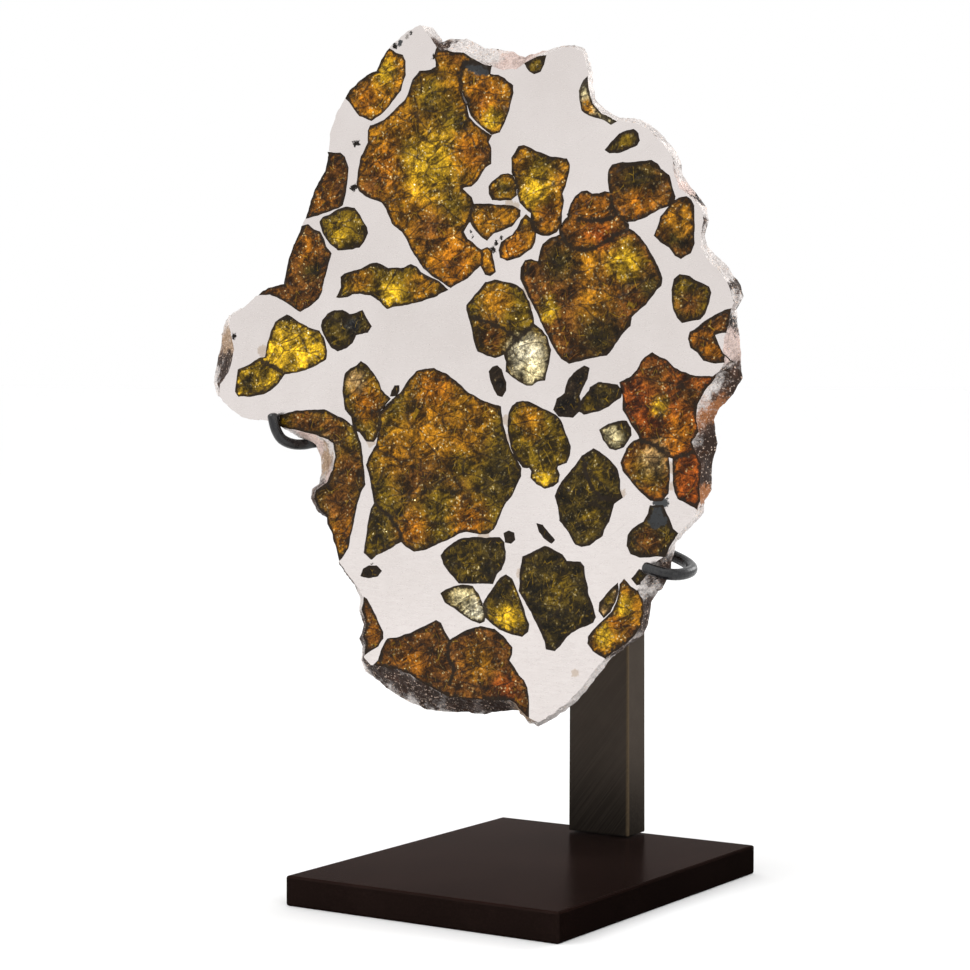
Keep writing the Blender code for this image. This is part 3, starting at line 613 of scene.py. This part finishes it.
def rimMaterial():
    material, tree, shader = newMaterial("naturalRim")
    look = rimSettings
    place = millimetres(tree)
    broad = waveNode(tree, place, look["broad"])["Fac"]
    grit = waveNode(tree, place, look["grit"])["Fac"]
    pits = voronoiNode(tree, place, look["pitScale"])
    ragged = bentPlace(tree, bentPlace(tree, place, *look["broadBend"]), *look["fineBend"])
    colour = plainColour(tree, rimTones["bright"])
    colour = patched(tree, ragged, colour, rimMarks, rimTones, *look["markFade"])
    shine = remap(tree, brightness(tree, colour), *look["bareTone"])
    colour = mixed(tree, remap(tree, broad, *look["rustRange"]), colour, look["rust"])
    colour = mixed(tree, remap(tree, grit, *look["dirtRange"]), colour, look["dirt"])
    glint = mathNode(tree, "MULTIPLY",
                     remap(tree, channel(tree, pits["Color"], 0), *look["glintChosen"]),
                     remap(tree, pits["Distance"], *look["glintSize"]))
    glint = mathNode(tree, "MULTIPLY", glint, remap(tree, grit, *look["glintGrit"]))
    colour = mixed(tree, glint, colour, look["glint"])
    bare = mathNode(tree, "MULTIPLY", shine, remap(tree, broad, *look["bareRange"]))
    setInputs(tree, shader, {
        "Base Color": colour,
        "Metallic": mathNode(tree, "MAXIMUM", glint, bare),
        "Specular IOR Level": look["specular"],
        "Roughness": remap(tree, grit, *look["roughness"]),
    })
    depth = mathNode(tree, "MULTIPLY", pits["Distance"], look["pitDepth"])
    addBump(tree, shader, mathNode(tree, "ADD", grit, depth), *look["bump"])
    return material


bronzeSettings = {
    "brush": (0.9, 4.0, 0.7),
    "brushStretch": (0.05, 4.5, 4.5),
    "brushRange": (0.40, 0.75, 0.0, 0.22),
    "brushLight": 1.6,                          # times the top colour
    "cloud": (0.05, 5.0, 0.55),
    "cloudRange": (0.35, 0.65),
    "cloudShade": 0.72,                         # times the top colour
    "sideShadeFacing": (0.2, 0.8),                  # how far a face looks up, from the painted side shade to the top
    "footHeight": (6.0, 28.0),                  # mm, where the painted shade at the foot fades out
    "highlightReach": (0.75, 0.30),                  # mm from the edge with the painted highlight
    "highlightBrush": (0.3, 0.6, 0.5, 1.0),
    "highlightTone": (0.11, 0.080, 0.048, 1.0),
    "specular": 0.001,
    "roughness": (0.3, 0.7, 0.45, 0.60),
    "bump": (0.12, 0.1 * mm),
}

# top is the colour of a face that looks up; side and foot are shares of it, painted shade on faces
# that look sideways and towards the post's foot
bronzeLooks = {
    "base_plate": {
        "name": "bronzedBase",
        "top": (0.032, 0.019, 0.016),
        "side": 0.30,
        "footShade": 1.0,
        "brushTurn": (0.0, 0.0, 0.6),
        "polish": {
            "Metallic": 0.6,
            "Specular Tint": (0.27, 0.235, 0.222, 1.0),
            "Roughness": 0.24,
        },
    },
    "post": {
        "name": "bronzedPost",
        "top": (0.070, 0.057, 0.047),
        "side": 1.0,
        "footShade": 0.28,
        "brushTurn": (0.0, 0.9, 0.0),
        "polish": {},
    },
    "support_arm": {
        "name": "bronzedArm",
        "top": (0.044, 0.036, 0.030),
        "side": 1.0,
        "footShade": 1.0,
        "brushTurn": (0.0, 0.0, 1.57),
        "polish": {},
    },
}


# painted highlight: a lighter line along the post's front corner, broken up by the brush
def paintedEdgeHighlight(tree, colour, place, brush, highlightEdge):
    look = bronzeSettings
    x, y = highlightEdge
    flat = stretched(tree, place, (1.0, 1.0, 0.0))
    wearAndHighlight = remap(tree, distanceTo(tree, flat, (x / mm, y / mm, 0.0)), *look["highlightReach"])
    wearAndHighlight = mathNode(tree, "MULTIPLY", wearAndHighlight, remap(tree, brush, *look["highlightBrush"]))
    return mixed(tree, wearAndHighlight, colour, look["highlightTone"])


def bronzeMaterial(part, highlightEdge=None):
    look = bronzeSettings
    own = bronzeLooks[part]
    material, tree, shader = newMaterial(own["name"])
    place = millimetres(tree)
    hair = stretched(tree, turned(tree, place, own["brushTurn"]), look["brushStretch"])
    brush = waveNode(tree, hair, look["brush"])["Fac"]
    cloud = remap(tree, waveNode(tree, place, look["cloud"])["Fac"], *look["cloudRange"])
    colour = mixed(tree, cloud, opaque(own["top"]), opaque(own["top"], look["cloudShade"]))
    # painted shade: faces that look sideways are darker
    upward = addNode(tree, "ShaderNodeSeparateXYZ", {0: facingNormal(tree)}).outputs[2]
    colour = scaled(tree, colour, remap(tree, upward, *look["sideShadeFacing"], own["side"], 1.0))
    # painted shade: the post darkens towards its foot
    height = addNode(tree, "ShaderNodeSeparateXYZ", {0: place}).outputs[2]
    footShade = remap(tree, height, *look["footHeight"], own["footShade"], 1.0, True)
    colour = scaled(tree, colour, footShade)
    colour = mixed(tree, remap(tree, brush, *look["brushRange"]), colour,
                   opaque(own["top"], look["brushLight"]))
    # painted highlight along one edge
    if highlightEdge is not None:
        colour = paintedEdgeHighlight(tree, colour, place, brush, highlightEdge)
    finish = {
        "Base Color": colour,
        "Specular IOR Level": look["specular"],
        "Roughness": remap(tree, brush, *look["roughness"]),
    }
    finish.update(own["polish"])
    setInputs(tree, shader, finish)
    addBump(tree, shader, brush, *look["bump"])
    return material


hookSettings = {
    "black": (0.006, 0.006, 0.007, 1.0),
    "worn": (0.022, 0.021, 0.021, 1.0),
    "wearAndHighlight": (0.8, 5.0, 0.55),
    "wearRange": (0.45, 0.7),
    "specular": 0.45,
    "roughness": (0.3, 0.7, 0.20, 0.36),
    "bump": (0.15, 0.2 * mm),
}


def hookMaterial():
    material, tree, shader = newMaterial("blackenedSteel")
    look = hookSettings
    wearAndHighlight = waveNode(tree, millimetres(tree), look["wearAndHighlight"])["Fac"]
    colour = mixed(tree, remap(tree, wearAndHighlight, *look["wearRange"]), look["black"], look["worn"])
    setInputs(tree, shader, {
        "Base Color": colour,
        "Specular IOR Level": look["specular"],
        "Roughness": remap(tree, wearAndHighlight, *look["roughness"]),
    })
    addBump(tree, shader, wearAndHighlight, *look["bump"])
    return material


sliceSettings = {
    "seed": 10,                 # without one, the outlines waver anew at each run
    "weld": 0.001 * mm,
    "capFacing": 0.995,         # a face that looks this far along y is polished
    "capDepth": 0.05 * mm,
    "capReach": 0.01 * mm,
    "wallReach": 0.42 * mm,     # a side face nearer than this to its neighbour is a wall
    "wallTilt": 0.02,
    "closeBy": 0.29 * mm,       # a crystal's wall grows into the groove that the CAD leaves
    "closeAbove": 0.02,         # length of the mean normal at a notch too sharp to grow
    "cornerStretch": 1.4,       # a sharp corner moves at most this much further
    "edgeLength": 0.9 * mm,
    "rimLength": 0.8 * mm,
    "splitRounds": 6,
    "waver": 0.19 * mm,
    "waverSteps": ((450.0, 1.0), (1100.0, 0.5)),   # per metre, share
    "rimRough": 0.34 * mm,
    "rimCoarse": (260.0, 0.7),                     # per metre, share
    "rimFractal": (900.0, 0.8, 2.1, 4),
    "rimAtFace": 0.35,          # roughness left where the rim meets a polished face
    "capStep": 0.85 * mm,
    "capJitter": (3.1, 0.25),   # per mm, share of a step
    "seamStep": 0.5 * mm,
    "seamShade": 0.8,
    "ringWidth": 0.5 * mm,
    "samePoint": 0.00001,       # mm
    "crossReach": 0.0005,       # mm
    "sunk": 0.012 * mm,         # crystal faces lie this far below the polished metal
}

# kinds of face on a piece of the slice
frontFace = 1
backFace = 2
wallFace = 3
rimFace = 4


def cleanCopy(name):
    mesh = bmesh.new()
    mesh.from_mesh(nodes[name].data)
    bmesh.ops.remove_doubles(mesh, verts=mesh.verts, dist=sliceSettings["weld"])
    bmesh.ops.recalc_face_normals(mesh, faces=mesh.faces)
    return mesh


def treeOf(names):
    points = []
    faces = []
    for name in names:
        data = nodes[name].data
        start = len(points)
        points.extend(vertex.co.copy() for vertex in data.vertices)
        for polygon in data.polygons:
            faces.append([start + index for index in polygon.vertices])
    return BVHTree.FromPolygons(points, faces)


def isCap(face, level):
    away = abs(face.calc_center_median().y - level)
    return abs(face.normal.y) > sliceSettings["capFacing"] and away < sliceSettings["capDepth"]


def kindOf(face, neighbours):
    if isCap(face, sliceFront):
        return frontFace
    if isCap(face, sliceBack):
        return backFace
    away = neighbours.find_nearest(face.calc_center_median())[3]
    isNear = away is not None and away < sliceSettings["wallReach"]
    isWall = isNear and abs(face.normal.y) < sliceSettings["wallTilt"]
    return wallFace if isWall else rimFace


def openEdges(mesh):
    return [edge for edge in mesh.edges if edge.is_boundary]


def rimEdges(mesh, kindLayer):
    return [edge for edge in mesh.edges
            if any(face[kindLayer] == rimFace for face in edge.link_faces)]


def splitLong(mesh, findEdges, longest):
    for _ in range(sliceSettings["splitRounds"]):
        tooLong = [edge for edge in findEdges() if edge.calc_length() > longest]
        if not tooLong:
            return
        bmesh.ops.subdivide_edges(mesh, edges=tooLong, cuts=1)
        bmesh.ops.triangulate(mesh, faces=[face for face in mesh.faces if len(face.verts) > 4])


def waver(place):
    shift = Vector((0.0, 0.0, 0.0))
    for scale, share in sliceSettings["waverSteps"]:
        spot = Vector((place.x, 0.0, place.z)) * scale
        shift += noise.noise_vector(spot) * share
    shift.y = 0.0
    return shift * sliceSettings["waver"]


def wallShift(walls):
    outward = sum(walls, Vector()) / len(walls)
    if outward.length <= sliceSettings["closeAbove"]:
        return Vector()
    stretch = min(1.0 / outward.length, sliceSettings["cornerStretch"])
    return outward.normalized() * sliceSettings["closeBy"] * stretch


def rimShift(vertex, rims):
    outward = (sum(rims, Vector()) / len(rims)).normalized()
    scale, dimension, lacunarity, octaves = sliceSettings["rimFractal"]
    rough = noise.fractal(vertex.co * scale, dimension, lacunarity, octaves)
    coarse, share = sliceSettings["rimCoarse"]
    rough += share * noise.noise(vertex.co * coarse)
    if any(edge.is_boundary for edge in vertex.link_edges):
        rough *= sliceSettings["rimAtFace"]
        outward.y = 0.0
    return outward * rough * sliceSettings["rimRough"]


def shiftOf(vertex, kindLayer, isCrystal):
    walls = [face.normal for face in vertex.link_faces if face[kindLayer] == wallFace]
    rims = [face.normal for face in vertex.link_faces if face[kindLayer] == rimFace]
    shift = waver(vertex.co)
    if walls and isCrystal:
        shift += wallShift(walls)
    if rims and not walls:
        shift += rimShift(vertex, rims)
    return shift


# where crystals of one node meet, at photograph pixels
crystalSeams = {
    "crystal_right_cluster": (
        ((562, 238), (566, 242), (574, 249), (585, 250), (596, 247), (606, 241), (616, 235),
         (627, 230)),
        ((611, 196), (612, 204), (616, 213), (624, 220), (627, 223)),
        ((578, 219), (590, 221), (603, 221), (615, 216))),
    "crystal_top_cluster": (
        ((483, 63), (474, 64), (464, 62), (461, 76), (460, 87)),
        ((472, 207), (470, 212), (471, 218)),
        ((482, 253), (482, 261))),
    "crystal_left_cluster": (
        ((380, 413), (380, 421), (380, 429)),
        ((376, 505), (380, 508), (388, 515), (395, 525), (400, 531), (400, 539))),
    "crystal_edge_cluster": (
        ((642, 440), (650, 443), (660, 449), (666, 454)),
        ((676, 457), (682, 456), (690, 453), (700, 450), (708, 448))),
    "crystal_upper_pair": (
        ((514, 178), (516, 182), (517, 187), (517, 193)),
        ((528, 218), (532, 223), (534, 229))),
    "crystal_middle_pair": (
        ((532, 326), (521, 336), (511, 346), (506, 352)),
        ((472, 318), (485, 321), (500, 327), (514, 336))),
    "crystal_small_pair": (((580, 405), (579, 409)),),
    "crystal_lower_pair": (((484, 607), (485, 613)),),
    "crystal_c22": (((262, 361), (272, 366), (282, 371)),),
    "crystal_c39": (((584, 462), (586, 475), (592, 488), (602, 498), (616, 500)),),
    "crystal_c54": (((449, 644), (447, 656), (454, 668), (450, 684)),),
}


def insideLoop(x, z, loop):
    inside = False
    for (ax, az), (bx, bz) in loop:
        if (az > z) != (bz > z) and x < ax + (z - az) * (bx - ax) / (bz - az):
            inside = not inside
    return inside


def seamPoints(seam):
    step = sliceSettings["seamStep"] / mm
    corners = [Vector(photoToSlice(u, v)) for u, v in seam]
    points = []
    for start, end in zip(corners, corners[1:]):
        count = max(1, round((end - start).length / step))
        points.extend(start.lerp(end, index / count) for index in range(count))
    return points + [corners[-1]]


def flatPoint(vertex):
    return Vector((vertex.co.x / mm, vertex.co.z / mm))


def addSeams(points, links, loop, seams):
    for seam in seams:
        last = None
        for point in seamPoints(seam):
            if not insideLoop(point.x, point.y, loop):
                last = None
                continue
            points.append(point)
            if last is not None:
                middle = (last + point) / 2
                if insideLoop(middle.x, middle.y, loop):
                    links.append((len(points) - 2, len(points) - 1))
            last = point


# a grid that keeps its distance from the outline and the seams
def gridPoints(outline, level, loop):
    fringe = KDTree(len(outline))
    for index, point in enumerate(outline):
        fringe.insert((point.x, point.y, 0.0), index)
    fringe.balance()
    step = sliceSettings["capStep"] / mm
    scale, share = sliceSettings["capJitter"]
    low = Vector((min(point.x for point in outline), min(point.y for point in outline)))
    high = Vector((max(point.x for point in outline), max(point.y for point in outline)))
    found = []
    for row in range(int((high.y - low.y) / step) + 1):
        for column in range(int((high.x - low.x) / step) + 1):
            x = low.x + (column + 0.5 * (row % 2)) * step
            z = low.y + row * step
            jitter = noise.noise_vector(Vector((x * scale, level, z * scale))) * share * step
            x += jitter.x
            z += jitter.z
            near = fringe.find((x, z, 0.0))[2]
            if near > sliceSettings["ringWidth"] / mm and insideLoop(x, z, loop):
                found.append(Vector((x, z)))
    return found


# where the outline crosses itself, both walls are split and joined there
def splitCrossings(edges, flat, origins, placed):
    doubles = {}
    for index, source in enumerate(origins):
        if source:
            continue
        for edge in list(edges):
            start, end = (flatPoint(vertex) for vertex in edge.verts)
            along = end - start
            share = (flat[index] - start).dot(along) / along.length_squared
            offset = (start + along * share - flat[index]).length
            if 0.0 < share < 1.0 and offset < sliceSettings["crossReach"]:
                newEdge, vertex = bmesh.utils.edge_split(edge, edge.verts[0], share)
                edges.append(newEdge)
                if index in placed:
                    doubles[vertex] = placed[index]
                else:
                    placed[index] = vertex
    return doubles


# fine triangles on a crystal's polished face, so that the dark ring can be a value on the mesh
def fillCap(mesh, kindLayer, edges, level, kind, seams):
    ringLayer = mesh.verts.layers.float["edge"]
    mesh.verts.index_update()
    rim = sorted({vertex for edge in edges for vertex in edge.verts},
                 key=lambda vertex: vertex.index)
    order = {vertex: index for index, vertex in enumerate(rim)}
    points = [flatPoint(vertex) for vertex in rim]
    links = [(order[edge.verts[0]], order[edge.verts[1]]) for edge in edges]
    loop = [(tuple(points[start]), tuple(points[end])) for start, end in links]
    if kind == frontFace:
        addSeams(points, links, loop, seams)
    darkCount = len(points)
    points.extend(gridPoints(points, level, loop))
    made = geometry.delaunay_2d_cdt(points, links, [], 1, sliceSettings["samePoint"])
    flat, faces, origins = made[0], made[2], made[3]
    placed = {}
    for index, source in enumerate(origins):
        for original in source:
            if original < len(rim):
                placed[index] = rim[original]
    doubles = splitCrossings(edges, flat, origins, placed)
    for face in faces:
        corners = []
        for index in face:
            if index not in placed:
                vertex = mesh.verts.new((flat[index].x * mm, level, flat[index].y * mm))
                isDark = any(original < darkCount for original in origins[index])
                vertex[ringLayer] = sliceSettings["seamShade"] if isDark else 0.0
                placed[index] = vertex
            corners.append(placed[index])
        if len(set(corners)) == 3 and mesh.faces.get(corners) is None:
            mesh.faces.new(corners)[kindLayer] = kind
    bmesh.ops.weld_verts(mesh, targetmap=doubles)


def closeCap(mesh, kindLayer, name, level, kind):
    edges = [edge for edge in openEdges(mesh)
             if all(abs(vertex.co.y - level) < sliceSettings["capReach"] for vertex in edge.verts)]
    if name in crystalNodes:
        fillCap(mesh, kindLayer, edges, level, kind, crystalSeams.get(name, ()))
        return
    facing = (0.0, -1.0 if kind == frontFace else 1.0, 0.0)
    made = bmesh.ops.triangle_fill(mesh, use_beauty=True, use_dissolve=False, edges=edges,
                                   normal=facing)
    for item in made["geom"]:
        if isinstance(item, bmesh.types.BMFace):
            item[kindLayer] = kind


def keepInBox(mesh, sunk):
    low, high = cadBounds
    for vertex in mesh.verts:
        vertex.co.x = min(max(vertex.co.x, low[0]), high[0])
        vertex.co.y = min(max(vertex.co.y, sliceFront + sunk), sliceBack - sunk)
        vertex.co.z = min(vertex.co.z, high[2])


def turnOutward(mesh, kindLayer):
    mesh.normal_update()
    outward = {frontFace: -1.0, backFace: 1.0}
    for face in mesh.faces:
        if face.normal.y * outward.get(face[kindLayer], 0.0) < 0.0:
            face.normal_flip()
    if all(edge.is_manifold for edge in mesh.edges):
        bmesh.ops.recalc_face_normals(mesh, faces=mesh.faces)


# the CAD piece with finer walls and rim, wavering outlines and new polished faces
def refineSlicePiece(name, neighbours):
    isCrystal = name in crystalNodes
    mesh = cleanCopy(name)
    ringLayer = mesh.verts.layers.float.new("edge")
    kindLayer = mesh.faces.layers.int.new("kind")
    for face in mesh.faces:
        face[kindLayer] = kindOf(face, neighbours)
    caps = [face for face in mesh.faces if face[kindLayer] in (frontFace, backFace)]
    bmesh.ops.delete(mesh, geom=caps, context="FACES")
    splitLong(mesh, lambda: rimEdges(mesh, kindLayer), sliceSettings["rimLength"])
    splitLong(mesh, lambda: openEdges(mesh), sliceSettings["edgeLength"])
    mesh.normal_update()
    shifts = {vertex: shiftOf(vertex, kindLayer, isCrystal) for vertex in mesh.verts}
    for vertex, shift in shifts.items():
        vertex.co += shift
        vertex[ringLayer] = 1.0
    closeCap(mesh, kindLayer, name, sliceFront, frontFace)
    closeCap(mesh, kindLayer, name, sliceBack, backFace)
    bmesh.ops.holes_fill(mesh, edges=openEdges(mesh), sides=0)
    bmesh.ops.triangulate(mesh, faces=[face for face in mesh.faces if len(face.verts) > 3])
    keepInBox(mesh, sliceSettings["sunk"] if isCrystal else 0.0)
    turnOutward(mesh, kindLayer)
    return mesh, kindLayer


def finishPiece(mesh, kindLayer, name, polished, rim):
    for face in mesh.faces:
        face.material_index = 1 if face[kindLayer] == rimFace else 0
        face.smooth = face[kindLayer] == rimFace
    data = bpy.data.meshes.new(name)
    mesh.to_mesh(data)
    mesh.free()
    data.materials.append(polished)
    data.materials.append(rim)
    piece = bpy.data.objects.new(name, data)
    bpy.context.scene.collection.objects.link(piece)
    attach(piece, "root")
    return piece


def makeMetal(rim):
    mesh, kindLayer = refineSlicePiece("metal_matrix", treeOf(crystalNodes))
    piece = finishPiece(mesh, kindLayer, "meteoriteMetal", ironMaterial(), rim)
    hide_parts("metal_matrix")
    print("metal", len(piece.data.polygons))


def makeCrystals(rim):
    neighbours = treeOf(["metal_matrix"])
    for name in crystalNodes:
        ownName = name.replace("crystal", "olivine")
        baseTone, patches = crystalLooks[name]
        look = olivineMaterial(ownName, baseTone, patches, crystalMarks.get(name, ()))
        mesh, kindLayer = refineSlicePiece(name, neighbours)
        piece = finishPiece(mesh, kindLayer, ownName, look, rim)
        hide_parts(name)
    print("crystals", len(crystalNodes))


def dressStand():
    low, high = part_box("post")
    hooks = hookMaterial()
    looks = {
        "base_plate": bronzeMaterial("base_plate"),
        # the post's painted highlight runs along its front right corner
        "post": bronzeMaterial("post", (high[0], low[1])),
        "support_arm": bronzeMaterial("support_arm"),
        "hook_left": hooks,
        "hook_right": hooks,
    }
    for name, material in looks.items():
        data = nodes[name].data
        data.materials.clear()
        data.materials.append(material)
    print("stand", len(looks))


studioSettings = {
    "world": 1.0,
    "floor": (0.93, 0.93, 0.93, 1.0),
    "floorSize": 60.0,
    "floorFinish": {"Roughness": 0.8, "Specular IOR Level": 0.1},
    "sun": (0.30, 50.0, (-0.4, -0.5, 1.0)),     # strength, degrees across, direction
    "lights": (                                 # name, place, size, power
        ("keyLight", (-0.55, -0.75, 0.95), 0.5, 2.4),
        ("fillLight", (0.9, -0.5, 0.7), 0.4, 1.2),
        ("backLight", (0.3, 0.9, 0.6), 0.5, 3.0),
    ),
    "target": (0.0, 0.0, 0.10),
}


def makeFloor():
    mesh = bmesh.new()
    bmesh.ops.create_grid(mesh, x_segments=8, y_segments=8, size=studioSettings["floorSize"] / 2)
    data = bpy.data.meshes.new("floor")
    mesh.to_mesh(data)
    mesh.free()
    material, tree, shader = newMaterial("paleFloor")
    setInputs(tree, shader, {"Base Color": studioSettings["floor"]})
    setInputs(tree, shader, studioSettings["floorFinish"])
    data.materials.append(material)
    floor = bpy.data.objects.new("floor", data)
    bpy.context.scene.collection.objects.link(floor)


def addLamp(light, place, direction):
    lamp = bpy.data.objects.new(light.name, light)
    lamp.location = place
    lamp.rotation_euler = Vector(direction).to_track_quat("-Z", "Y").to_euler()
    bpy.context.scene.collection.objects.link(lamp)


def makeLights():
    world = bpy.data.worlds.new("studio")
    bpy.context.scene.world = world
    world.use_nodes = True
    background = world.node_tree.nodes["Background"]
    background.inputs["Color"].default_value = (1.0, 1.0, 1.0, 1.0)
    background.inputs["Strength"].default_value = studioSettings["world"]
    strength, softness, direction = studioSettings["sun"]
    sun = bpy.data.lights.new("softSun", "SUN")
    sun.energy = strength
    sun.angle = math.radians(softness)
    addLamp(sun, (0.0, 0.0, 0.0), -Vector(direction))
    for name, place, size, power in studioSettings["lights"]:
        light = bpy.data.lights.new(name, "AREA")
        light.size = size
        light.energy = power
        addLamp(light, place, Vector(studioSettings["target"]) - Vector(place))
    print("lights", len(studioSettings["lights"]) + 1)


def makeCamera():
    data = bpy.data.cameras.new("photoCamera")
    data.sensor_width = cameraSettings["sensor"]
    data.lens = cameraSettings["focalPixels"] * data.sensor_width / cameraSettings["imageWidth"]
    camera = bpy.data.objects.new("photoCamera", data)
    camera.location = cameraSettings["place"]
    tilt = math.radians(90.0 - cameraSettings["pitch"])
    camera.rotation_euler = (tilt, 0.0, math.radians(cameraSettings["azimuth"]))
    bpy.context.scene.collection.objects.link(camera)
    bpy.context.scene.camera = camera


noise.seed_set(sliceSettings["seed"])
rimLook = rimMaterial()
makeMetal(rimLook)
makeCrystals(rimLook)
dressStand()
makeFloor()
makeLights()
makeCamera()
bpy.context.scene.view_settings.view_transform = "Standard"
